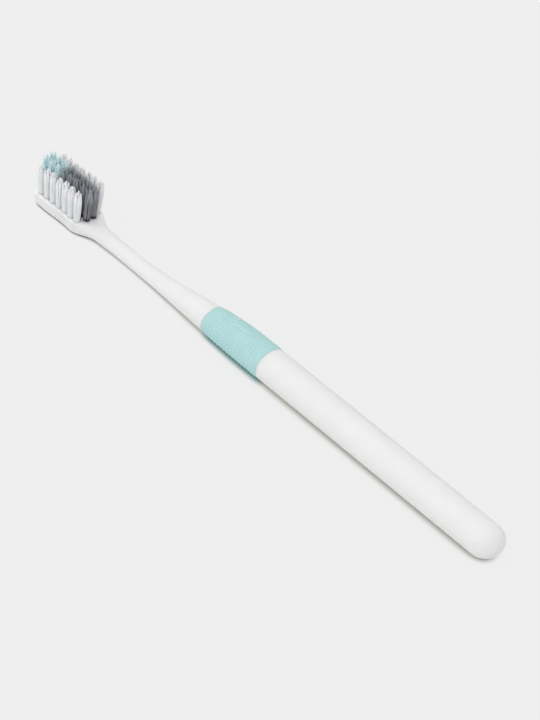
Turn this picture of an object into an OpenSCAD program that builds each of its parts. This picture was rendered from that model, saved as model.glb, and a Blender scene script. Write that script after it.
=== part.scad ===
// Manual toothbrush: a one-piece moulded handle with a soft ring of grip at its waist,
// and thirty bristle tufts that stand in blind holes in the head, each on a metal anchor.
// The brush lies on its back. X runs from the toe of the head to the end of the handle,
// Y runs across it, and Z points up, the way the bristles point. The origin is below the
// middle of the brush, on the surface that it lies on.

/* [Overall] */
// Length of the whole brush
brush_l = 182; // [165:1:210]

/* [Head] */
// Wall between the toe and the holes of the first tufts
toe_wall = 1.18; // [0.8:0.02:2]
// Wall between the outer holes and the side of the head
side_wall = 0.72; // [0.6:0.02:2]
// Wall below the holes
floor_wall = 1.2; // [0.8:0.1:1.8]
// Thickness of the head
head_t = 4.1; // [3.6:0.1:6]
// Radius of the toe's two corners, seen from above
toe_r = 3.3; // [1.6:0.1:4]
// Radius of the head's lower edges
head_lower_r = 1.5; // [0.5:0.1:2]
// Radius of the head's upper edges
head_upper_r = 0.5; // [0.2:0.05:0.8]
// Distance from the start of the shoulder to the last tufts of the outer rows
shoulder_lead = 1.34; // [0:0.02:2]
// Length of the shoulder, in which the head narrows to the neck
shoulder_l = 8.3; // [6:0.1:12]

/* [Neck] */
// Width of the neck
neck_w = 4.54; // [3.8:0.02:6]
// Thickness of the neck
neck_t = 4; // [3.4:0.1:5]
// Length of the neck, from the shoulder to the flare
neck_l = 13.5; // [8:0.5:20]
// Length of the flare, in which the neck widens to the handle
flare_l = 50; // [44:1:60]

/* [Handle] */
// Width of the handle behind the flare
handle_w = 10.06; // [8:0.02:14]
// Thickness of the handle behind the flare
handle_t = 8.9; // [7:0.1:12]
// Width of the handle in front of its rounded end
end_w = 10.3; // [8:0.1:14]
// Thickness of the handle in front of its rounded end
end_t = 9.06; // [7:0.02:12]
// Length of the rounded end
end_l = 5.3; // [3:0.1:8]

/* [Grip] */
// Distance from the start of the flare to the front edge of the grip
grip_lead = 32.9; // [25:0.1:40]
// Length of the grip
grip_l = 23; // [12:0.5:40]
// Wall of the grip, up to the surface of the handle
grip_wall = 1.2; // [0.8:0.1:2]
// How far the grip stands proud of the handle, except on the back
grip_rise = 0.14; // [0.04:0.02:0.3]

/* [Tufts] */
// Tufts in each inner row, where each outer row has one less
inner_tufts = 8; // [5:1:8]
// Distance from one tuft to the next along a row
tuft_pitch = 2.54; // [2.2:0.02:2.8]
// Distance between the two inner rows
middle_gap = 2.24; // [2:0.02:2.6]
// Distance between an inner row and the outer row beside it
row_gap = 2.41; // [2:0.01:2.8]
// Diameter of a tuft's hole
hole_d = 1.7; // [1.5:0.05:1.9]
// Free length of the outer tufts
outer_free_l = 9.7; // [8:0.1:12]
// Free length of the inner tufts
inner_free_l = 10.5; // [8:0.1:12]
// Tufts of each inner row that have the grip's colour, counted from the toe
tinted_tufts = 3; // [0:1:5]

/* [Filaments] */
// Width of a strand at its root, across its corners
strand_d = 0.28; // [0.2:0.02:0.3]
// Width of a strand at its tip, across its corners
strand_tip_d = 0.14; // [0.08:0.02:0.2]

/* [Anchors] */
// How far an anchor bites into the head beyond each side of the hole
anchor_bite = 0.125; // [0.05:0.005:0.2]
// Height of an anchor
anchor_h = 1.2; // [0.8:0.1:1.4]
// Thickness of an anchor
anchor_t = 0.25; // [0.2:0.05:0.4]
// Height of the fold of filaments below an anchor
fold_h = 0.4; // [0.2:0.05:0.5]

/* [Hidden] */
// Clearance between the grip and the handle that it is moulded on
bond_gap = 0.04;
// Clearance round a tuft's root in its hole, and round an anchor in its slot
seat_gap = 0.03;
// Overrun of a cut past the face that it opens
overrun = 1;
// Depth to which the strands are fused into the root of their tuft
fuse_depth = 0.2;

// How much wider a tuft is at its tips than at its root, as a share
tuft_fan_share = 0.16;
// How far the whole block of tufts leans outward at its tips, as a share
splay_share = 0.015;
// Strands of a tuft, ring by ring, and the radius of each ring as a share of the outer one
ring_strands = [1, 5, 8];
ring_radius_share = [0, 0.52, 1];
// Length of the strands of each ring, as a share of the tuft's free length
ring_length_share = [1, 0.985, 0.95];
// Most of a section's height that its lower and its upper corners take, as shares
lower_corner_share = 0.68;
upper_corner_share = 0.26;
// How far along its quarter ellipse the rounded end runs before its small flat tip, as a share
end_curve_share = 0.994;

// Facets of one corner of a section, and steps of the lengthwise curves
corner_steps = 8;
toe_steps = 8;
shoulder_steps = 10;
flare_steps = 14;
grip_steps = 8;
end_steps = 9;

// Rows of tufts, across the head
inner_row = middle_gap / 2;
outer_row = inner_row + row_gap;
head_w = 2 * (outer_row + hole_d / 2 + side_wall);
outer_tufts = inner_tufts - 1;

// Places along the brush, from the toe
first_tuft = toe_wall + hole_d / 2;
last_tuft = first_tuft + (inner_tufts - 1) * tuft_pitch;
head_l = last_tuft - tuft_pitch / 2 - shoulder_lead;
neck_at = head_l + shoulder_l;
flare_at = neck_at + neck_l;
handle_at = flare_at + flare_l;
grip_at = flare_at + grip_lead;
grip_end = grip_at + grip_l;
end_at = brush_l - end_l;

// Sizes of a hole and what it holds
hole_depth = head_t - floor_wall;
root_d = hole_d - 2 * seat_gap;
ring_r = (root_d - strand_d) / 2 - seat_gap;
anchor_w = hole_d + 2 * anchor_bite;
anchor_floor = floor_wall + fold_h;

// Rows of tufts: name, place across the head, and whether it is an inner row
ROWS = [
    ["tuft_left", -outer_row, false],
    ["tuft_inner_left", -inner_row, true],
    ["tuft_inner_right", inner_row, true],
    ["tuft_right", outer_row, false]
];
function tufts_of(row) = row[2] ? inner_tufts : outer_tufts;
function tuft_x(row, i) = first_tuft + (row[2] ? i : i + 0.5) * tuft_pitch;
function tuft_name(row, i) = str(row[0], "_", i + 1);

// A smooth step from 0 to 1
function ease(u) = let (v = min(max(u, 0), 1)) v * v * (3 - 2 * v);
function mix(a, b, u) = a + (b - a) * u;

// How far the form at x has become neck, flare, and the rear of the handle
function neck_part(x) = ease((x - head_l) / shoulder_l);
function flare_part(x) = ease((x - flare_at) / flare_l);
function rear_part(x) = min(max((x - handle_at) / (end_at - handle_at), 0), 1);

// Share of the full section that is left at x in the rounded end
function end_part(x) =
    let (u = min(max((x - end_at) / end_l, 0), 1) * end_curve_share) sqrt(1 - u * u);

// How far a round edge of radius r has drawn in at distance x from its start
function draw_in(r, x) = x >= r ? 0 : r - sqrt(r * r - (r - x) * (r - x));

function full_width(x) =
    mix(mix(head_w, neck_w, neck_part(x)), handle_w, flare_part(x))
    + (end_w - handle_w) * rear_part(x) - 2 * draw_in(toe_r, x);
function full_height(x) =
    mix(mix(head_t, neck_t, neck_part(x)), handle_t, flare_part(x))
    + (end_t - handle_t) * rear_part(x);

// Points of a corner of a section, as facets that touch its quarter ellipse
function corner(y, z, ry, rz, start) =
    let (grow = 1 / cos(45 / corner_steps))
    [for (i = [0 : corner_steps - 1])
        let (a = start + (i + 0.5) * 90 / corner_steps)
        [y + ry * grow * cos(a), z + rz * grow * sin(a)]];

// Section at x, drawn in by one inset on the back and by another on its sides and front
function section(x, back_inset, inset) =
    let (
        f = end_part(x),
        bottom = draw_in(head_lower_r, x) + end_t / 2 * (1 - f),
        top = bottom + full_height(x) * f - draw_in(head_upper_r, x) - draw_in(head_lower_r, x),
        half = full_width(x) / 2 * f - inset,
        low = bottom + back_inset,
        high = top - inset,
        part = neck_part(x),
        lower_y = min(mix(head_lower_r, half, part), half),
        upper_y = min(mix(head_upper_r, half, part), half),
        middle = (high - low) / 2,
        lower_z = mix(min(head_lower_r, (high - low) * lower_corner_share), middle, part),
        upper_z = mix(min(head_upper_r, (high - low) * upper_corner_share), middle, part)
    )
    [for (p = concat(
        corner(half - upper_y, high - upper_z, upper_y, upper_z, 0),
        corner(upper_y - half, high - upper_z, upper_y, upper_z, 90),
        corner(lower_y - half, low + lower_z, lower_y, lower_z, 180),
        corner(half - lower_y, low + lower_z, lower_y, lower_z, 270)
    )) [x, p[0], p[1]]];

// Triangles between rings of points, each ring joined to the next, and to the first if looped
function ring_faces(rings, sides, looped) =
    [for (i = [0 : rings - (looped ? 1 : 2)]) for (j = [0 : sides - 1])
        let (
            a = i * sides + j,
            b = i * sides + (j + 1) % sides,
            c = (i + 1) % rings * sides + (j + 1) % sides,
            d = (i + 1) % rings * sides + j
        )
        each [[a, c, b], [a, d, c]]];

// A solid through sections, closed at both ends
module loft(sections) {
    sides = len(sections[0]);
    rings = len(sections);
    polyhedron(
        points = [for (s = sections) each s],
        faces = concat(
            ring_faces(rings, sides, false),
            [[for (j = [0 : sides - 1]) j]],
            [[for (j = [0 : sides - 1]) rings * sides - 1 - j]]
        )
    );
}

// A solid tube through sections that come back to the first one
module loft_ring(sections) {
    polyhedron(
        points = [for (s = sections) each s],
        faces = ring_faces(len(sections), len(sections[0]), true)
    );
}

function steps(from, to, count) = [for (i = [0 : count]) mix(from, to, i / count)];

// Stations of the outer form, close together where it curves and far apart where it is straight
toe_stations = [for (i = [0 : toe_steps]) toe_r * (1 - cos(90 * i / toe_steps))];
shoulder_stations = steps(head_l, neck_at, shoulder_steps);
flare_stations = steps(flare_at, handle_at, flare_steps);
end_turn = asin(end_curve_share);
end_stations = [for (i = [0 : end_steps])
    end_at + end_l * sin(end_turn * i / end_steps) / end_curve_share];
front_stations = [for (x = concat(toe_stations, shoulder_stations, flare_stations)) if (x < grip_at) x];
rear_stations = [for (x = concat(flare_stations, end_stations)) if (x > grip_end) x];

// The moulding, with a waist under the grip
module handle_body() {
    loft(concat(
        [for (x = front_stations) section(x, 0, 0)],
        [section(grip_at, 0, 0)],
        [for (x = steps(grip_at, grip_end, grip_steps)) section(x, grip_wall, grip_wall)],
        [section(grip_end, 0, 0)],
        [for (x = rear_stations) section(x, 0, 0)]
    ));
}

// Draws its children at every tuft
module at_tufts() {
    for (row = ROWS) for (i = [0 : tufts_of(row) - 1]) {
        translate([tuft_x(row, i), row[1], 0])
            children();
    }
}

// An anchor grown by a gap on every side
module anchor_block(gap) {
    translate([-anchor_w / 2 - gap, -anchor_t / 2 - gap, anchor_floor - gap])
        cube([anchor_w + 2 * gap, anchor_t + 2 * gap, anchor_h + 2 * gap]);
}

module handle() {
    color("white")
    difference() {
        handle_body();
        at_tufts() {
            translate([0, 0, floor_wall])
                cylinder(h = hole_depth + overrun, d = hole_d, $fn = 24);
        }
        at_tufts()
            anchor_block(seat_gap);
    }
}

module grip_sleeve() {
    front = grip_at + bond_gap;
    rear = grip_end - bond_gap;
    inner = grip_wall - bond_gap;
    color("#b9dede")
    loft_ring(concat(
        [for (x = steps(front, rear, grip_steps)) section(x, 0, -grip_rise)],
        [for (x = steps(rear, front, grip_steps)) section(x, inner, inner)]
    ));
}

module anchor_staples() {
    color("#c9a24b")
    at_tufts()
        anchor_block(0);
}

// One three-sided strand from its root to its tip, each given as [x, y, z]
module strand(root, tip, turn) {
    function triangle(c, r) =
        [for (a = [0, 120, 240]) [c[0] + r * cos(a + turn), c[1] + r * sin(a + turn), c[2]]];
    polyhedron(
        points = concat(triangle(root, strand_d / 2), triangle(tip, strand_tip_d / 2)),
        faces = [[0, 1, 2], [3, 5, 4], [0, 4, 1], [0, 3, 4], [1, 5, 2], [1, 4, 5], [2, 3, 0], [2, 5, 3]]
    );
}

// A tuft at [x, y]: a root folded round its anchor, and strands that spread towards their tips
module tuft(x, y, free_l) {
    block_middle = (first_tuft + last_tuft) / 2;
    difference() {
        union() {
            translate([x, y, floor_wall + seat_gap])
                cylinder(h = hole_depth - seat_gap, d = root_d, $fn = 24);
            for (k = [0 : len(ring_strands) - 1]) for (i = [0 : ring_strands[k] - 1]) {
                angle = (i + k / 2) * 360 / ring_strands[k];
                offset = ring_r * ring_radius_share[k] * [cos(angle), sin(angle)];
                spread = offset * (1 + tuft_fan_share) + splay_share * [x - block_middle, y];
                strand(
                    [x + offset[0], y + offset[1], head_t - fuse_depth],
                    [x + spread[0], y + spread[1], head_t + free_l * ring_length_share[k]],
                    angle
                );
            }
        }
        translate([x, y, 0])
            anchor_block(seat_gap);
    }
}

// Tuft number i of a row, counted from the toe
module row_tuft(row, i) {
    shade = !row[2] ? "#e4e6e6" : i < tinted_tufts ? "#8fcfd0" : "#4a4f56";
    color(shade)
    tuft(tuft_x(row, i), row[1], row[2] ? inner_free_l : outer_free_l);
}

// Puts the origin below the middle of the brush
module placed() {
    translate([-brush_l / 2, 0, 0])
        children();
}

placed() handle();
placed() grip_sleeve();
placed() anchor_staples();
for (row = ROWS) for (i = [0 : tufts_of(row) - 1]) {
    placed() row_tuft(row, i);
}
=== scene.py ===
# A manual toothbrush lying on its back on a pale floor: a white moulded handle, a mint dotted
# grip and thirty tufts of fine filaments. Forms are worked out in millimetres from the toe.
import math
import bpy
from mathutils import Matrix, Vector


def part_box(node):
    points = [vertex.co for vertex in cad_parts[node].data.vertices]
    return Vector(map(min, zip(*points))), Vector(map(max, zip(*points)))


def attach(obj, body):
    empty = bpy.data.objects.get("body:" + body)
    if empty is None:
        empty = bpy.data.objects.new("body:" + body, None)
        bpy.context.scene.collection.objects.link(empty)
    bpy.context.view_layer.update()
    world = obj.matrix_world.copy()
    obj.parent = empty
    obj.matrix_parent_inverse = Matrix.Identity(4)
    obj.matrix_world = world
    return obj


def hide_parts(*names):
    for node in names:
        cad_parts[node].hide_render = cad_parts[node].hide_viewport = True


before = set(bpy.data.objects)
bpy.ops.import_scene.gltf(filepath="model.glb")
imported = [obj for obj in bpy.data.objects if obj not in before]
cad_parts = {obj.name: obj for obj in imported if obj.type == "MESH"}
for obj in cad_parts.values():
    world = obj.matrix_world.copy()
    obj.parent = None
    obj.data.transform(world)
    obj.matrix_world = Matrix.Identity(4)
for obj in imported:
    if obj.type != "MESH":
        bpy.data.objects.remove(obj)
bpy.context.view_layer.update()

from types import SimpleNamespace

import bmesh
import bpy
import numpy as np
from mathutils import Matrix, Vector

MM = 0.001
FULL_TURN = 2 * math.pi
QUARTER_TURN = math.pi / 2

# Handle, in millimetres, as in the CAD source
HEAD_WIDTH = 10.2
HEAD_HEIGHT = 4.1
HEAD_LENGTH = 17.2
TOE_RADIUS = 3.3
LOWER_RADIUS = 1.5
UPPER_RADIUS = 0.5
LOWER_CORNER_SHARE = 0.68
UPPER_CORNER_SHARE = 0.26
FLOOR_WALL = 1.2
SHOULDER_LENGTH = 8.3
NECK_WIDTH = 4.54
NECK_HEIGHT = 4.0
NECK_LENGTH = 13.5
FLARE_LENGTH = 50.0
SHANK_WIDTH = 10.06
SHANK_HEIGHT = 8.9
END_WIDTH = 10.3
END_HEIGHT = 9.06
END_LENGTH = 5.3
GRIP_WALL = 1.2
GRIP_GAP = 0.04
HOLE_GAP = 0.03

# Places along the brush, from the toe
TOE_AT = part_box("handle")[0][0] / MM
BRUSH_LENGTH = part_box("handle")[1][0] / MM - TOE_AT
GRIP_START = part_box("grip_sleeve")[0][0] / MM - TOE_AT
GRIP_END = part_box("grip_sleeve")[1][0] / MM - TOE_AT
NECK_START = HEAD_LENGTH + SHOULDER_LENGTH
FLARE_START = NECK_START + NECK_LENGTH
SHANK_START = FLARE_START + FLARE_LENGTH
END_START = BRUSH_LENGTH - END_LENGTH

# Where the head is slimmer and the shoulder fuller than in the CAD source: by how much on each
# side, how far that reaches along the brush, and where its middle is
SLIMMING = 0.26
SLIMMING_REACH = 7.0
SLIMMING_AT = 13.5
FULLNESS = 0.3
FULLNESS_REACH = SHOULDER_LENGTH
FULLNESS_AT = NECK_START - 0.5

# Mesh of the handle: steps on each corner and flat of the dense outline, points round a section,
# and sections along each part
ARC_STEPS = 40
FLAT_STEPS = 20
SECTION_SIDES = 160
TOE_STEPS = 24
HEAD_STEPS = 24
SHOULDER_STEPS = 40
NECK_STEPS = 12
FLARE_STEPS = 40
WAIST_STEPS = 24
SHANK_STEPS = 60
END_STEPS = 48

# Rounding where the handle and the grip meet, and the angle in degrees from which the handle's
# edges stay sharp
CREASE = 0.09
HANDLE_SHARP_ANGLE = 35

# Cutter for the holes: its sides, and how far it stands out of the head
HOLE_SIDES = 40
HOLE_OVERRUN = 1.0

# Dots of the grip: rows along the brush and dots round it, with their sizes in millimetres. The
# pitch round the brush is rough, and the fullness is the power that rounds a dot
DOT_ROWS = 17
DOT_PITCH = 1.27
DOTS_ROUND = 28
DOT_PITCH_ROUND = 1.0
DOT_TWIST_SHARE = 0.35
DOT_RADIUS = 0.3
DOT_HEIGHT = 0.19
DOT_FULLNESS = 0.6
FIRST_DOT = (GRIP_START + GRIP_END - (DOT_ROWS - 1) * DOT_PITCH) / 2

# A small plain bar among the dots, with the width of its soft edge
BAR_LENGTH = 5.2
BAR_WIDTH = 0.62
BAR_HEIGHT = 0.12
BAR_EDGE = 0.08
BAR_AT = (GRIP_START + GRIP_END) / 2 - 0.5

# Mesh of the grip: distances of its first sections from its edge, steps across a dot and a little
# past it, a step for the normals as a share of the way round, every how many sections the inside
# has one, and the angle in degrees from which its edges stay sharp
GRIP_EDGE_STEPS = np.array([0.0, 0.02, 0.06, CREASE, 0.2, 0.4])
DOT_STEPS = 8
DOT_MARGIN = 1.04
NORMAL_STEP = 1e-4
INSIDE_SKIP = 8
GRIP_SHARP_ANGLE = 50

# Filaments, in millimetres: their radius at the root, and in the bundle for pale and grey ones,
# and the depth of the root
ROOT_RADIUS = 0.085
PALE_RADIUS = 0.13
GREY_RADIUS = 0.1
ROOT_DEPTH = 1.0

# Mesh of the filaments: sides, shares of the length that have a section, and filaments by ring
FILAMENT_SIDES = 6
FILAMENT_STEPS = np.array([0.0, 0.12, 0.3, 0.48, 0.64, 0.78, 0.89, 0.96, 1.0])
RING_COUNTS = (1, 6, 12, 18, 24, 30)

# Foot of a tuft: the share of its free length in which it widens, and by how much
FOOT_SHARE = 0.08
FOOT_FLARE = 0.2

# Clumps in which the tips of a tuft gather: their number, their distance from its middle and
# their radius as shares of its radius, and how far a clump's heights and tints go together
CLUMPS = 5
CLUMP_PLACE_SHARE = 0.62
CLUMP_RADIUS_SHARE = 0.5
CLUMP_UNEVEN_SHARE = 0.06
CLUMP_TINT_SHARE = 0.3

# Chance: spread of the clumps' turns in radians, and in millimetres of the clumps' tips, of the
# roots and of the filaments' bows
CLUMP_TURN = 0.25
CLUMP_SHIFT = 0.05
ROOT_SHIFT = 0.012
BOW = 0.03

# Powers of the spread along a filament and of the point at its tip
SPREAD_POWER = 1.1
POINT_POWER = 1.2

# How far all tips sway, in millimetres along and across the head
SWAY = np.array([0.0, 0.125])

# The two kinds of tuft, with lengths in millimetres and the rest as shares.
# lean, rise: how far the tips lean and how much higher they reach for each millimetre from the
#   middle of the block
# fan, pull: how much wider a tuft is at its tips, and how much less each clump widens
# gather, taper: how far the tips close in on their clump, and from where along the filament
# loose, uneven: spread of the tips sideways and in height
# dome, point: how much lower the tips are at the rim of the tuft and at the rim of a clump
# extra, tip_radius: how far the tips reach beyond those of the CAD node, and how thick they are
OUTER = SimpleNamespace(
    lean=np.array([0.05, 0.064]), rise=np.array([0.067, 0.04]), fan=0.46, pull=0.0, gather=0.42,
    taper=0.82, loose=0.04, uneven=0.045, dome=0.12, point=0.03, extra=0.25, tip_radius=0.06)
INNER = SimpleNamespace(
    lean=np.array([0.07, 0.02]), rise=np.array([0.0, 0.0]), fan=0.5, pull=0.2, gather=0.5,
    taper=0.78, loose=0.11, uneven=0.14, dome=0.1, point=0.0, extra=0.35, tip_radius=0.03)

# How many tufts of each inner row are mint, from the toe
MINT_TUFTS = 3

# Filaments: colours of dark and light strands and of their tips, which paint the glow of light
# through the thin tips, and the least roughness
WHITE_FILAMENT = ((0.85, 0.872, 0.882), (0.872, 0.888, 0.894), (0.98, 0.98, 0.99), 0.5)
GREY_FILAMENT = ((0.012, 0.013, 0.018), (0.46, 0.47, 0.51), (0.44, 0.47, 0.5), 0.28)
MINT_FILAMENT = ((0.42, 0.92, 1.0), (0.64, 0.97, 1.0), (0.84, 0.99, 1.0), 0.3)

# Where their looks change: the end of the painted shade at the root and the range in which the
# tip's colour, a painted glow, comes in, as shares of the free length, the range of the strands'
# tints, and how far roughness varies
PAINTED_ROOT_SHADE_SHARE = 0.12
TIP_GLOW_SHARES = (0.5, 0.9)
STRAND_RANGE = (0.15, 0.85)
ROUGHNESS_RANGE = 0.12

# Handle: its two colours, and the lighter one of the head's top face, painted light that offsets
# the shade of the tufts there, with the shares of the head's height over which that one comes in
# and the places along the brush where it fades out
WHITE_PLASTIC = ((0.842, 0.845, 0.843), (0.864, 0.864, 0.861))
PAINTED_HEAD_FACE_LIGHT = (0.96, 0.96, 0.96)
PAINTED_HEAD_FACE_SHARES = (0.88, 0.98)
PAINTED_HEAD_FACE_FADE = (HEAD_LENGTH + 4, NECK_START + 4)

# Grip: its two colours, and the lighter one of the dots, painted light on their tops, with the
# shares of their height over which it comes in. Then the two colours of the anchors
MINT_ELASTOMER = ((0.43, 0.69, 0.695), (0.475, 0.73, 0.732))
MINT_DOT_PAINTED_LIGHT = (0.55, 0.8, 0.8)
MINT_DOT_LIGHT_SHARES = (0.2, 0.9)
BRASS = ((0.66, 0.49, 0.22), (0.78, 0.61, 0.32))

# Floor: its pale grey, and its half width and its drop under the brush in metres
PALE = 0.863
PALE_COLOUR = (PALE, PALE, PALE, 1)
FLOOR_HALF = 6.0
FLOOR_DROP = 0.00004

# Painted shadow on the floor's even colour: its reach in millimetres, its samples, the share of
# the light's own shading in it, and the range of openness over which it fades
SHADOW_REACH = 6.0
SHADOW_SAMPLES = 16
SHADOW_SHARE = 0.06
SHADOW_FROM = 0.05
SHADOW_TO = 0.455

# Powers that deepen that painted shadow in red, green and blue, each with what is added beside the
# grip as painted mint bounce light, and what is added to all three at the head. Then where the
# head's part fades out along the brush, and how far to both sides of its edges the grip's part
# fades
SHADOW_POWERS = ((0.965, 1.7), (0.985, 0.85), (1.09, 0.77))
HEAD_POWER = 0.9
HEAD_POWER_FADE = (HEAD_LENGTH - 3, HEAD_LENGTH + 6)
TINT_FADE = 1.5

# Light: where the tent is brightest, in degrees, its levels, and the range over which they run
SKY_TILT = 65.0
SKY_TURN = 20.0
SKY_DIM = 0.0
SKY_BRIGHT = 1.125
SKY_FROM = -0.9
SKY_TO = 0.8

# Camera: the point that it looks at and its distance in metres, its angles in degrees and its
# lens in millimetres
CAMERA_AIM = Vector((0.00017, 0.0033, 0.00178))
CAMERA_DISTANCE = 1.0
CAMERA_AZIMUTH = 46.532
CAMERA_ELEVATION = 39.587
CAMERA_ROLL = 5.25
CAMERA_LENS = 193.56

# Sockets of a node that mixes two colours
MIX_FIRST = 6
MIX_SECOND = 7
MIX_RESULT = 2

chance = np.random.default_rng(7)


def ease(u):
    """Runs from 0 to 1 with u, level at both ends."""
    v = np.clip(u, 0.0, 1.0)
    return v * v * (3 - 2 * v)


def mix(a, b, u):
    """The value at share u of the way from a to b."""
    return a + (b - a) * u


def bell(x, reach, middle):
    """1 at the middle, and 0 from the reach outwards."""
    return ease(1 - abs(x - middle) / reach)


def draw_in(radius, x):
    """How far a round edge has drawn in at distance x from its start."""
    left = max(radius - x, 0.0)
    return radius - math.sqrt(radius * radius - left * left)


def in_frame(x):
    """A place in millimetres from the toe, in the frame's metres."""
    return (x + TOE_AT) * MM


def turns_round(count):
    """Even turns round a circle."""
    return np.arange(count) * FULL_TURN / count


def on_circle(turns):
    """Points of a circle of radius 1."""
    return np.column_stack([np.cos(turns), np.sin(turns)])


def grown(x, head, neck, shank, end):
    """A size of the section at x, which runs from head to neck, shank and end."""
    front = mix(head, neck, ease((x - HEAD_LENGTH) / SHOULDER_LENGTH))
    flared = mix(front, shank, ease((x - FLARE_START) / FLARE_LENGTH))
    behind = np.clip((x - SHANK_START) / (END_START - SHANK_START), 0.0, 1.0)
    return flared + (end - shank) * behind


def outline(x, back_inset, inset):
    """Dense points (y, z) round the section at x, from the middle of the back, and their turns."""
    u = min(max((x - END_START) / END_LENGTH, 0.0), 1.0)
    left = math.sqrt(1 - u * u)
    bottom = draw_in(LOWER_RADIUS, x) + END_HEIGHT / 2 * (1 - left)
    height = grown(x, HEAD_HEIGHT, NECK_HEIGHT, SHANK_HEIGHT, END_HEIGHT) * left
    top = bottom + height - draw_in(UPPER_RADIUS, x) - draw_in(LOWER_RADIUS, x)
    width = grown(x, HEAD_WIDTH, NECK_WIDTH, SHANK_WIDTH, END_WIDTH) - 2 * draw_in(TOE_RADIUS, x)
    fuller = FULLNESS * bell(x, FULLNESS_REACH, FULLNESS_AT)
    slimmer = SLIMMING * bell(x, SLIMMING_REACH, SLIMMING_AT)
    width += 2 * (fuller - slimmer)
    half = width / 2 * left - inset
    low, high = bottom + back_inset, top - inset
    neck = ease((x - HEAD_LENGTH) / SHOULDER_LENGTH)
    lower_y = min(mix(LOWER_RADIUS, half, neck), half)
    upper_y = min(mix(UPPER_RADIUS, half, neck), half)
    middle = (high - low) / 2
    lower_z = mix(min(LOWER_RADIUS, (high - low) * LOWER_CORNER_SHARE), middle, neck)
    upper_z = mix(min(UPPER_RADIUS, (high - low) * UPPER_CORNER_SHARE), middle, neck)
    corners = [
        (half - lower_y, low + lower_z, lower_y, lower_z),
        (half - upper_y, high - upper_z, upper_y, upper_z),
        (upper_y - half, high - upper_z, upper_y, upper_z),
        (lower_y - half, low + lower_z, lower_y, lower_z),
    ]
    points = [np.array([[0.0, low]])]
    turns = [np.zeros(1)]
    flat_shares = np.linspace(0, 1, FLAT_STEPS, endpoint=False)[1:, None]
    for i, (y, z, ry, rz) in enumerate(corners):
        turn = np.linspace(i, i + 1, ARC_STEPS + 1) * math.pi / 2
        arc = np.column_stack([y + ry * np.sin(turn), z - rz * np.cos(turn)])
        flat = mix(points[-1][-1], arc[0], flat_shares)
        points += [flat, arc]
        turns += [np.full(len(flat), turn[0]), turn]
    points.append(mix(points[-1][-1], points[0][0], np.linspace(0, 1, FLAT_STEPS)[1:, None]))
    turns.append(np.full(FLAT_STEPS - 1, FULL_TURN))
    return np.vstack(points), np.concatenate(turns)


def ring(x, sides, back_inset=0.0, inset=0.0, turn_share=0.5):
    """Points of the section at x, spaced partly by length and partly by how the outline turns.

    The sides are how many there are, or an array of their places as shares of the way round.
    """
    points, turns = outline(x, back_inset, inset)
    lengths = np.concatenate([[0.0], np.cumsum(np.hypot(*np.diff(points, axis=0).T))])
    place = (1 - turn_share) * lengths / lengths[-1] + turn_share * turns / turns[-1]
    wanted = sides if isinstance(sides, np.ndarray) else np.arange(sides) / sides
    y = np.interp(wanted, place, points[:, 0])
    z = np.interp(wanted, place, points[:, 1])
    return np.column_stack([np.full(len(wanted), x), y, z])


def ring_faces(rings, sides, looped=False):
    """Quads between rings of points, and from the last ring to the first if looped."""
    i = np.arange(rings if looped else rings - 1)[:, None] * sides
    j = np.arange(sides)[None, :]
    k = (j + 1) % sides
    up = (i + sides) % (rings * sides)
    return np.stack([i + j, i + k, up + k, up + j], axis=-1).reshape(-1, 4).tolist()


def new_piece(name, points, faces, material, node, sharp_angle=None):
    """A mesh piece that stands for a CAD node and rides on the one body."""
    moved = np.array(points, dtype=float)
    moved[:, 0] += TOE_AT
    mesh = bpy.data.meshes.new(name)
    mesh.from_pydata((moved * MM).tolist(), [], faces)
    mesh.update()
    mesh.shade_smooth()
    if sharp_angle:
        mesh.set_sharp_from_angle(angle=math.radians(sharp_angle))
    mesh.materials.append(material)
    piece = bpy.data.objects.new(name, mesh)
    bpy.context.scene.collection.objects.link(piece)
    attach(piece, "root")
    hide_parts(node)
    return piece


def give_numbers(piece, name, values):
    """A number at each point of a piece, for its material to read."""
    piece.data.attributes.new(name, "FLOAT", "POINT").data.foreach_set("value", values)


def new_material(name, **values):
    """A Principled material with constant values on its sockets, its node tree and its shader."""
    material = bpy.data.materials.new(name)
    material.use_nodes = True
    tree = material.node_tree
    shader = tree.nodes["Principled BSDF"]
    for socket, value in values.items():
        shader.inputs[socket.replace("_", " ")].default_value = value
    return material, tree, shader


def feed(tree, socket, value):
    """Links a socket to the value, where that is a socket too, or sets it to a constant."""
    if isinstance(value, bpy.types.NodeSocket):
        tree.links.new(value, socket)
    else:
        socket.default_value = value


def add_node(tree, kind, settings=None, **inputs):
    """A node with its settings and with what feeds its sockets, by name."""
    node = tree.nodes.new(kind)
    for key, value in (settings or {}).items():
        setattr(node, key, value)
    for key, value in inputs.items():
        feed(tree, node.inputs[key.replace("_", " ")], value)
    return node


def calculated(tree, operation, *values):
    """The outcome of a Math node."""
    node = add_node(tree, "ShaderNodeMath", {"operation": operation})
    for socket, value in zip(node.inputs, values):
        feed(tree, socket, value)
    return node.outputs[0]


def place_in_frame(tree):
    """Where the point lies, in the frame's metres."""
    return add_node(tree, "ShaderNodeTexCoord").outputs["Object"]


def axes_in_frame(tree):
    """The same place as its numbers X, Y and Z."""
    return add_node(tree, "ShaderNodeSeparateXYZ", Vector=place_in_frame(tree)).outputs


def attribute(tree, name):
    """A piece's own number at the point."""
    return add_node(tree, "ShaderNodeAttribute", {"attribute_name": name}).outputs["Fac"]


def noise(tree, scale, detail=3.0, stretch=(1, 1, 1)):
    """Noise in the frame's own metres, scale features to a metre."""
    mapping = add_node(tree, "ShaderNodeMapping", Vector=place_in_frame(tree), Scale=stretch)
    place = mapping.outputs["Vector"]
    out = add_node(tree, "ShaderNodeTexNoise", Vector=place, Scale=scale, Detail=detail)
    return out.outputs["Fac"]


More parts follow.
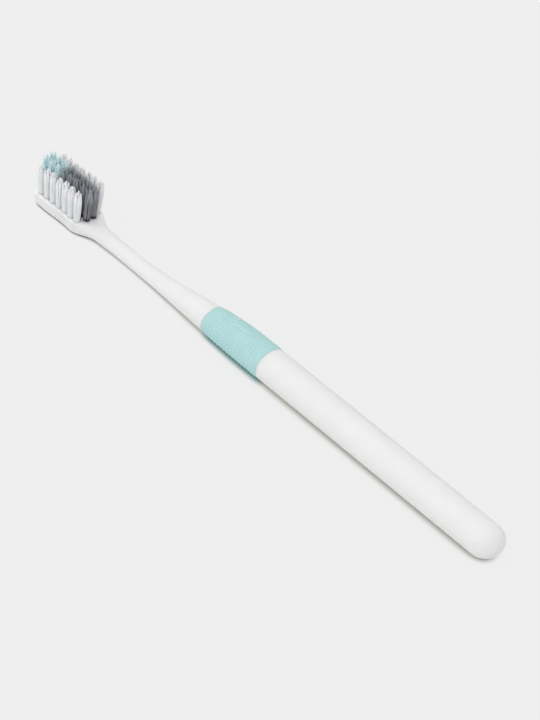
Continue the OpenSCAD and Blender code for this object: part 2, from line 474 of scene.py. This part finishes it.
def ramp(tree, factor, low, high, start=0.3, end=0.7):
    """Runs from one number to the other as the factor goes from start to end."""
    node = add_node(tree, "ShaderNodeMapRange", Value=factor, From_Min=start, From_Max=end,
                    To_Min=low, To_Max=high)
    return node.outputs["Result"]


def colour_ramp(tree, factor, low, high, start=0.3, end=0.7):
    """Runs from one colour to the other as the factor goes from start to end."""
    node = add_node(tree, "ShaderNodeValToRGB", Fac=factor)
    for stop, place, colour in zip(node.color_ramp.elements, (start, end), (low, high)):
        stop.position = place
        stop.color = (*colour, 1)
    return node.outputs["Color"]


def mixed_colour(tree, factor, first, second):
    """Runs from the first colour, a socket, to the second, a constant, with the factor."""
    node = add_node(tree, "ShaderNodeMix", {"data_type": "RGBA"}, Factor=factor)
    feed(tree, node.inputs[MIX_FIRST], first)
    feed(tree, node.inputs[MIX_SECOND], (*second, 1))
    return node.outputs[MIX_RESULT]


def mixed_shader(tree, factor, first, second):
    """Runs from the first shader to the second with the factor."""
    chosen = add_node(tree, "ShaderNodeMixShader", Fac=factor)
    tree.links.new(first, chosen.inputs[1])
    tree.links.new(second, chosen.inputs[2])
    return chosen.outputs[0]


def set_surface(tree, shader, colour, wear, rough, grain, depth_mm):
    """The colour, a roughness that varies with the wear, and a grain of that depth."""
    tree.links.new(colour, shader.inputs["Base Color"])
    tree.links.new(ramp(tree, wear, *rough), shader.inputs["Roughness"])
    bump = add_node(tree, "ShaderNodeBump", Height=grain, Distance=depth_mm * MM, Strength=1.0)
    tree.links.new(bump.outputs["Normal"], shader.inputs["Normal"])


def handle_material():
    """Satin white plastic with faint clouds, and painted light on the head's top face against the
    tufts' shade.
    """
    material, tree, shader = new_material(
        "white_polypropylene", IOR=1.49, Subsurface_Weight=0.6,
        Subsurface_Radius=(1.0, 0.95, 0.9), Subsurface_Scale=1.2 * MM)
    cloud = colour_ramp(tree, noise(tree, scale=220.0), *WHITE_PLASTIC)
    place = axes_in_frame(tree)
    # Painted light: the head's top face near the tufts is lighter, offsetting the shade the tufts
    # cast there
    heights = [share * HEAD_HEIGHT * MM for share in PAINTED_HEAD_FACE_SHARES]
    face = ramp(tree, place["Z"], 0.0, 1.0, *heights)
    head = ramp(tree, place["X"], 1.0, 0.0, *(in_frame(x) for x in PAINTED_HEAD_FACE_FADE))
    colour = mixed_colour(tree, calculated(tree, "MULTIPLY", face, head), cloud, PAINTED_HEAD_FACE_LIGHT)
    set_surface(tree, shader, colour, wear=noise(tree, scale=900.0), rough=(0.42, 0.52),
                grain=noise(tree, scale=2600.0, detail=2.0), depth_mm=0.01)
    return material


def grip_material():
    """Matt mint elastomer with faint clouds, and painted light that makes its dots lighter than
    the ground between them.
    """
    material, tree, shader = new_material("mint_elastomer", IOR=1.5, Specular_IOR_Level=0.35)
    ground = colour_ramp(tree, noise(tree, scale=320.0), *MINT_ELASTOMER)
    # Painted light: each dot turns lighter towards its top, as if its top caught the light
    dot = ramp(tree, attribute(tree, "raised"), 0.0, 1.0, *MINT_DOT_LIGHT_SHARES)
    colour = mixed_colour(tree, dot, ground, MINT_DOT_PAINTED_LIGHT)
    set_surface(tree, shader, colour, wear=noise(tree, scale=1500.0), rough=(0.62, 0.78),
                grain=noise(tree, scale=9000.0), depth_mm=0.012)
    return material


def filament_material(name, dark, light, tip, roughness):
    """Filaments vary from dark to light by strand, with painted shade at the root, and fade to the
    tip colour, a painted glow, at their ends.
    """
    material, tree, shader = new_material(name, IOR=1.53)
    along = attribute(tree, "along")
    # Painted shade: the strands darken towards the root, where the bundle shades itself
    painted_root_shade = ramp(tree, along, 0.0, 1.0, 0.0, PAINTED_ROOT_SHADE_SHARE)
    tint_with_painted_shade = calculated(tree, "MULTIPLY", attribute(tree, "strand"), painted_root_shade)
    body = colour_ramp(tree, tint_with_painted_shade, dark, light, *STRAND_RANGE)
    # Painted glow: towards the ends the colour turns to the tip colour, standing in for light
    # through the tips
    fade = ramp(tree, along, 0.0, 1.0, *TIP_GLOW_SHARES)
    grain = noise(tree, scale=5000.0, detail=2.0, stretch=(1, 1, 0.1))
    set_surface(tree, shader, mixed_colour(tree, fade, body, tip), wear=grain,
                rough=(roughness, roughness + ROUGHNESS_RANGE), grain=grain, depth_mm=0.006)
    return material


def anchor_material():
    """Brass with the streaks of rolling."""
    material, tree, shader = new_material("rolled_brass", Metallic=1.0)
    streaks = noise(tree, scale=4000.0, stretch=(0.2, 1, 6))
    colour = colour_ramp(tree, streaks, *BRASS)
    set_surface(tree, shader, colour, wear=streaks, rough=(0.25, 0.42), grain=streaks,
                depth_mm=0.004)
    return material


def handle_stations():
    """Distances from the toe to the grip, and from the grip to the end."""
    toe = TOE_RADIUS * (1 - np.cos(np.linspace(0, QUARTER_TURN, TOE_STEPS, endpoint=False)))
    head = np.linspace(TOE_RADIUS, HEAD_LENGTH, HEAD_STEPS, endpoint=False)
    shoulder = np.linspace(HEAD_LENGTH, NECK_START, SHOULDER_STEPS, endpoint=False)
    neck = np.linspace(NECK_START, FLARE_START, NECK_STEPS, endpoint=False)
    flare = np.linspace(FLARE_START, GRIP_START - CREASE, FLARE_STEPS)
    shank = np.linspace(GRIP_END + CREASE, END_START, SHANK_STEPS, endpoint=False)
    end_turns = np.linspace(0, QUARTER_TURN, END_STEPS, endpoint=False)
    end = END_START + END_LENGTH * np.sin(end_turns)
    return np.concatenate([toe, head, shoulder, neck, flare]), np.concatenate([shank, end])


def make_handle(material):
    """The moulding, with a waist for the grip and rounded creases beside it."""
    front, rear = handle_stations()
    start, end = GRIP_START - GRIP_GAP, GRIP_END + GRIP_GAP
    waist = np.linspace(start, end, WAIST_STEPS)
    rings = [ring(x, SECTION_SIDES) for x in front]
    rings.append(ring(start, SECTION_SIDES, CREASE / 2, CREASE / 2))
    rings += [ring(x, SECTION_SIDES, GRIP_WALL, GRIP_WALL) for x in waist]
    rings.append(ring(end, SECTION_SIDES, CREASE / 2, CREASE / 2))
    rings += [ring(x, SECTION_SIDES) for x in rear]
    faces = ring_faces(len(rings), SECTION_SIDES)
    last = (len(rings) - 1) * SECTION_SIDES
    tip = last + SECTION_SIDES
    faces += [[last + j, last + (j + 1) % SECTION_SIDES, tip] for j in range(SECTION_SIDES)]
    faces.append(list(range(SECTION_SIDES))[::-1])
    points = np.vstack(rings + [[[BRUSH_LENGTH, 0.0, END_HEIGHT / 2]]])
    return new_piece("handle_moulding", points, faces, material, "handle")


def drill_holes(handle, tufts):
    """Cuts the blind holes of the tufts into the head."""
    cutter = bmesh.new()
    top = HEAD_HEIGHT + HOLE_OVERRUN
    for tuft in tufts:
        place = Vector((in_frame(tuft.x), tuft.y * MM, (FLOOR_WALL + top) / 2 * MM))
        radius = (tuft.radius + HOLE_GAP) * MM
        bmesh.ops.create_cone(
            cutter, cap_ends=True, segments=HOLE_SIDES, radius1=radius, radius2=radius,
            depth=(top - FLOOR_WALL) * MM, matrix=Matrix.Translation(place))
    mesh = bpy.data.meshes.new("holes")
    cutter.to_mesh(mesh)
    cutter.free()
    holes = bpy.data.objects.new("holes", mesh)
    bpy.context.scene.collection.objects.link(holes)
    cut = handle.modifiers.new("holes", "BOOLEAN")
    cut.object = holes
    cut.solver = "EXACT"
    drilled = handle.evaluated_get(bpy.context.evaluated_depsgraph_get())
    cut_mesh = bpy.data.meshes.new_from_object(drilled)
    handle.modifiers.clear()
    handle.data = cut_mesh
    bpy.data.objects.remove(holes)
    cut_mesh.shade_smooth()
    cut_mesh.set_sharp_from_angle(angle=math.radians(HANDLE_SHARP_ANGLE))


def cell_shares(radius_share):
    """Places across one cell of the dot lattice, close together on the dot."""
    dot = np.linspace(-1.0, 1.0, DOT_STEPS) * radius_share * DOT_MARGIN
    between = 0.25 + radius_share / 2
    return np.concatenate([[-0.5, -between], dot, [between]])


def grip_height(x, around, round_mm):
    """Height of the grip's dots and its small plain bar over its surface."""
    row = np.clip(np.round((x - FIRST_DOT) / DOT_PITCH), 0, DOT_ROWS - 1)
    along_mm = x - FIRST_DOT - row * DOT_PITCH
    turned = (around - 0.5) * DOTS_ROUND + DOT_TWIST_SHARE
    across_mm = (turned - np.round(turned)) * round_mm / DOTS_ROUND
    within = np.clip(1 - (along_mm**2 + across_mm**2) / DOT_RADIUS**2, 0, 1)
    dots = DOT_HEIGHT * within**DOT_FULLNESS
    beside = (turned - 0.5) * round_mm / DOTS_ROUND
    past = np.maximum(np.abs(x - BAR_AT) - (BAR_LENGTH - BAR_WIDTH) / 2, 0)
    bar = BAR_HEIGHT * ease((BAR_WIDTH / 2 - np.hypot(past, beside)) / BAR_EDGE)
    return np.maximum(dots, bar)


def make_grip(material):
    """The ring of grip with rounded edges, raised dots and a plain inside."""
    cells = cell_shares(DOT_RADIUS / DOT_PITCH)
    dotted = np.concatenate([FIRST_DOT + (k + cells) * DOT_PITCH for k in range(DOT_ROWS)])
    rows = np.concatenate([GRIP_START + GRIP_EDGE_STEPS, dotted, GRIP_END - GRIP_EDGE_STEPS[::-1]])
    cells_round = cell_shares(DOT_RADIUS / DOT_PITCH_ROUND)
    sides = np.concatenate([k + cells_round for k in range(DOTS_ROUND)])
    around = np.sort((sides - DOT_TWIST_SHARE + DOTS_ROUND / 2) / DOTS_ROUND % 1.0)
    rings, heights = [], []
    for x in rows:
        edge_drop = draw_in(CREASE, min(x - GRIP_START, GRIP_END - x))
        here = ring(x, around, 0.0, edge_drop, 0.0)
        ahead = ring(x, around + NORMAL_STEP, 0.0, edge_drop, 0.0)
        behind = ring(x, around - NORMAL_STEP, 0.0, edge_drop, 0.0)
        tangent = ahead - behind
        normal = np.column_stack([np.zeros(len(here)), tangent[:, 2], -tangent[:, 1]])
        normal /= np.linalg.norm(normal, axis=1)[:, None]
        points, _ = outline(x, 0.0, edge_drop)
        round_mm = np.hypot(*np.diff(points, axis=0).T).sum()
        height = grip_height(x, around, round_mm)
        raised = here + normal * height[:, None]
        raised[:, 2] = np.maximum(raised[:, 2], 0.0)
        rings.append(raised)
        heights.append(height / DOT_HEIGHT)
    inner = GRIP_WALL - GRIP_GAP
    rings += [ring(x, around, inner, inner, 0.0) for x in rows[::-INSIDE_SKIP]]
    rings.append(ring(GRIP_START, around, inner, inner, 0.0))
    faces = ring_faces(len(rings), len(around), looped=True)
    piece = new_piece("dotted_grip", np.vstack(rings), faces, material,
                      "grip_sleeve", GRIP_SHARP_ANGLE)
    values = np.zeros(len(piece.data.vertices))
    values[: len(rows) * len(around)] = np.concatenate(heights)
    give_numbers(piece, "raised", values)
    return piece


class Tuft:
    """Where a tuft stands and how long it is above the head, read from its CAD node."""

    def __init__(self, node):
        self.node = node
        corners = np.array([tuple(v.co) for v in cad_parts[node].data.vertices]) / MM
        corners[:, 0] -= TOE_AT
        root = corners[corners[:, 2] < HEAD_HEIGHT / 2]
        self.x, self.y = (root[:, :2].min(axis=0) + root[:, :2].max(axis=0)) / 2
        self.radius = np.ptp(root[:, 1]) / 2
        self.free = corners[:, 2].max() - HEAD_HEIGHT
        self.kind = INNER if "inner" in node else OUTER
        self.number = int(node.rsplit("_", 1)[1])


def packed_offsets(room):
    """Filaments in rings round the middle of the tuft, the outermost ring almost closed."""
    places = []
    for k, count in enumerate(RING_COUNTS):
        turns = turns_round(count) + chance.uniform(0, FULL_TURN)
        places.append(on_circle(turns) * room * k / (len(RING_COUNTS) - 1))
    return np.vstack(places)


def clump_centres(radius):
    """One clump in the middle of the tuft and the others round it."""
    turns = turns_round(CLUMPS - 1) + chance.uniform(0, FULL_TURN)
    turns += chance.normal(0, CLUMP_TURN, CLUMPS - 1)
    return np.vstack([[0.0, 0.0], on_circle(turns) * radius * CLUMP_PLACE_SHARE])


def plan_filaments(tuft, block_middle):
    """For each filament of a tuft its root, its tip, its bow, its height and its tint."""
    kind = tuft.kind
    root = packed_offsets(tuft.radius - ROOT_RADIUS)
    count = len(root)
    root += chance.normal(0, ROOT_SHIFT, root.shape)
    centres = clump_centres(tuft.radius)
    away = np.linalg.norm(root[:, None] - centres[None], axis=2)
    clump = away.argmin(axis=1)

    # Tips spread out round their clump, lean with the block and stray
    tip_centre = centres[clump] * (1 + kind.fan)
    tip = tip_centre + (root - centres[clump]) * (1 + kind.fan - kind.pull)
    from_middle = np.array([tuft.x - block_middle, tuft.y])
    lean = kind.lean * from_middle + SWAY
    stray = chance.normal(0, kind.loose, root.shape)
    tip += lean + stray + chance.normal(0, CLUMP_SHIFT, centres.shape)[clump]
    bow = chance.normal(0, BOW, root.shape)

    # Tips are uneven, and lower at the rims of the tuft and of its clumps
    lower = chance.uniform(0, CLUMP_UNEVEN_SHARE, CLUMPS)[clump]
    lower += chance.uniform(0, kind.uneven, count)
    lower += kind.dome * (np.linalg.norm(root, axis=1) / tuft.radius) ** 2
    lower += kind.point * (away.min(axis=1) / (CLUMP_RADIUS_SHARE * tuft.radius)) ** 2
    longest = tuft.free + (kind.extra + kind.rise @ from_middle)
    reach = longest * (1 - lower + lower.min())

    tint = CLUMP_TINT_SHARE * chance.uniform(0, 1, CLUMPS)[clump]
    tint += (1 - CLUMP_TINT_SHARE) * chance.uniform(0, 1, count)
    return SimpleNamespace(root=root, tip=tip, to_clump=tip_centre - tip + lean, bow=bow,
                           reach=reach, tint=tint)


def make_tuft(tuft, block_middle, material, full_radius):
    """Filaments that rise from their hole, spread a little and gather in uneven points."""
    kind = tuft.kind
    plan = plan_filaments(tuft, block_middle)
    centre = np.array([tuft.x, tuft.y])
    circle = on_circle(turns_round(FILAMENT_SIDES))
    points, along, strand = [], [], []
    for i in range(len(plan.root)):
        for t in FILAMENT_STEPS:
            z = HEAD_HEIGHT - ROOT_DEPTH + t * (plan.reach[i] + ROOT_DEPTH)
            share = max(z - HEAD_HEIGHT, 0) / tuft.free
            foot = ease(share / FOOT_SHARE)
            end = ease((t - kind.taper) / (1 - kind.taper))
            widened = plan.root[i] * (1 + FOOT_FLARE * foot)
            middle = centre + mix(widened, plan.tip[i], share**SPREAD_POWER)
            middle = middle + plan.bow[i] * math.sin(math.pi * share)
            middle = middle + plan.to_clump[i] * kind.gather * end
            radius = mix(ROOT_RADIUS, full_radius, foot)
            radius = mix(radius, kind.tip_radius, end**POINT_POWER)
            points.append(np.column_stack([middle + circle * radius, np.full(FILAMENT_SIDES, z)]))
            along += [share] * FILAMENT_SIDES
            strand += [plan.tint[i]] * FILAMENT_SIDES

    # Each filament is a closed tube
    size = len(FILAMENT_STEPS) * FILAMENT_SIDES
    root_face = list(range(FILAMENT_SIDES))[::-1]
    tip_face = list(range(size - FILAMENT_SIDES, size))
    tube = ring_faces(len(FILAMENT_STEPS), FILAMENT_SIDES) + [tip_face, root_face]
    faces = [[i * size + k for k in face] for i in range(len(plan.root)) for face in tube]
    name = "filaments_" + tuft.node
    piece = new_piece(name, np.vstack(points), faces, material, tuft.node)
    give_numbers(piece, "along", along)
    give_numbers(piece, "strand", strand)
    return piece


def seen_by_camera(tree):
    """1 for rays from the camera and for mirrored and refracted ones, 0 for the light's own."""
    path = add_node(tree, "ShaderNodeLightPath").outputs
    either = calculated(tree, "MAXIMUM", path["Is Camera Ray"], path["Is Glossy Ray"])
    return calculated(tree, "MAXIMUM", either, path["Is Transmission Ray"])


def painted_shadow_colour(tree, level):
    """The painted shadow's level as a colour: a little warm, deeper at the head, and mint beside
    the grip as painted bounce light from it.
    """
    along = axes_in_frame(tree)["X"]
    fade = TINT_FADE * MM
    start, end = in_frame(GRIP_START), in_frame(GRIP_END)
    begun = ramp(tree, along, 0.0, 1.0, start - fade, start + fade)
    ended = ramp(tree, along, 1.0, 0.0, end - fade, end + fade)
    beside = calculated(tree, "MULTIPLY", begun, ended)
    head = [in_frame(x) for x in HEAD_POWER_FADE]
    colour = tree.nodes.new("ShaderNodeCombineColor")
    for socket, (plain, extra) in zip(colour.inputs, SHADOW_POWERS):
        power = ramp(tree, along, plain + HEAD_POWER, plain, *head)
        power = calculated(tree, "MULTIPLY_ADD", beside, extra, power)
        feed(tree, socket, calculated(tree, "POWER", level, power))
    return colour.outputs[0]


def make_floor():
    """A pale matt floor, even to the eye, with a painted shadow where the brush is close to it."""
    material, tree, shader = new_material(
        "pale_floor", Base_Color=PALE_COLOUR, Roughness=0.9, Specular_IOR_Level=0.0)
    near = add_node(tree, "ShaderNodeAmbientOcclusion", {"samples": SHADOW_SAMPLES},
                    Distance=SHADOW_REACH * MM)
    level = ramp(tree, near.outputs["AO"], 0.0, 1.0, SHADOW_FROM, SHADOW_TO)
    # Painted shadow: the floor's even colour darkens where little of the sky is open to it
    even = add_node(tree, "ShaderNodeEmission", Color=painted_shadow_colour(tree, level), Strength=PALE)
    shown = mixed_shader(tree, SHADOW_SHARE, even.outputs[0], shader.outputs[0])
    both = mixed_shader(tree, seen_by_camera(tree), shader.outputs[0], shown)
    tree.links.new(both, tree.nodes["Material Output"].inputs["Surface"])
    mesh = bpy.data.meshes.new("floor")
    corners = [(-FLOOR_HALF, -FLOOR_HALF), (FLOOR_HALF, -FLOOR_HALF),
               (FLOOR_HALF, FLOOR_HALF), (-FLOOR_HALF, FLOOR_HALF)]
    mesh.from_pydata([(x, y, -FLOOR_DROP) for x, y in corners], [], [(0, 1, 2, 3)])
    mesh.materials.append(material)
    floor = bpy.data.objects.new("floor", mesh)
    bpy.context.scene.collection.objects.link(floor)


def make_lights():
    """A studio tent of soft light, brightest above the near side and dim low down behind."""
    world = bpy.data.worlds.new("studio")
    bpy.context.scene.world = world
    world.use_nodes = True
    tree = world.node_tree
    sky = tree.nodes["Background"]
    tilt, turn = math.radians(SKY_TILT), math.radians(SKY_TURN)
    along = -math.cos(tilt) * math.sin(turn)
    across = -math.cos(tilt) * math.cos(turn)
    facing = add_node(tree, "ShaderNodeVectorMath", {"operation": "DOT_PRODUCT"})
    feed(tree, facing.inputs[0], add_node(tree, "ShaderNodeTexCoord").outputs["Generated"])
    feed(tree, facing.inputs[1], (along, across, math.sin(tilt)))
    level = ramp(tree, facing.outputs["Value"], SKY_DIM, SKY_BRIGHT, SKY_FROM, SKY_TO)
    tree.links.new(level, sky.inputs["Strength"])
    sky.inputs["Color"].default_value = (1, 1, 1, 1)
    seen = add_node(tree, "ShaderNodeBackground", Color=PALE_COLOUR, Strength=1.0)
    both = mixed_shader(tree, seen_by_camera(tree), sky.outputs[0], seen.outputs[0])
    tree.links.new(both, tree.nodes["World Output"].inputs["Surface"])


def make_camera():
    """A camera that is aimed, turned, tilted and rolled by named angles."""
    angles = (CAMERA_AZIMUTH, CAMERA_ELEVATION, CAMERA_ROLL)
    turn, tilt, roll = (math.radians(angle) for angle in angles)
    flat = math.cos(tilt)
    forward = Vector((-math.sin(turn) * flat, math.cos(turn) * flat, -math.sin(tilt)))
    level = Vector((math.cos(turn), math.sin(turn), 0))
    upright = level.cross(forward)
    right = math.cos(roll) * level + math.sin(roll) * upright
    up = math.cos(roll) * upright - math.sin(roll) * level
    place = CAMERA_AIM - forward * CAMERA_DISTANCE
    data = bpy.data.cameras.new("camera")
    data.lens = CAMERA_LENS
    camera = bpy.data.objects.new("camera", data)
    axes = Matrix((right, up, -forward)).transposed().to_4x4()
    camera.matrix_world = Matrix.Translation(place) @ axes
    bpy.context.scene.collection.objects.link(camera)
    bpy.context.scene.camera = camera


bpy.context.scene.view_settings.view_transform = "Standard"
make_camera()
make_lights()
make_floor()

tufts = [Tuft(name) for name in sorted(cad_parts) if name.startswith("tuft_")]
block_middle = (min(t.x for t in tufts) + max(t.x for t in tufts)) / 2
handle = make_handle(handle_material())
drill_holes(handle, tufts)
make_grip(grip_material())

white = filament_material("white_filament", *WHITE_FILAMENT)
grey = filament_material("grey_filament", *GREY_FILAMENT)
mint = filament_material("mint_filament", *MINT_FILAMENT)
for tuft in tufts:
    if tuft.kind is OUTER:
        make_tuft(tuft, block_middle, white, PALE_RADIUS)
    elif tuft.number <= MINT_TUFTS:
        make_tuft(tuft, block_middle, mint, PALE_RADIUS)
    else:
        make_tuft(tuft, block_middle, grey, GREY_RADIUS)

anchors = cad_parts["anchor_staples"]
anchors.data.materials.clear()
anchors.data.materials.append(anchor_material())
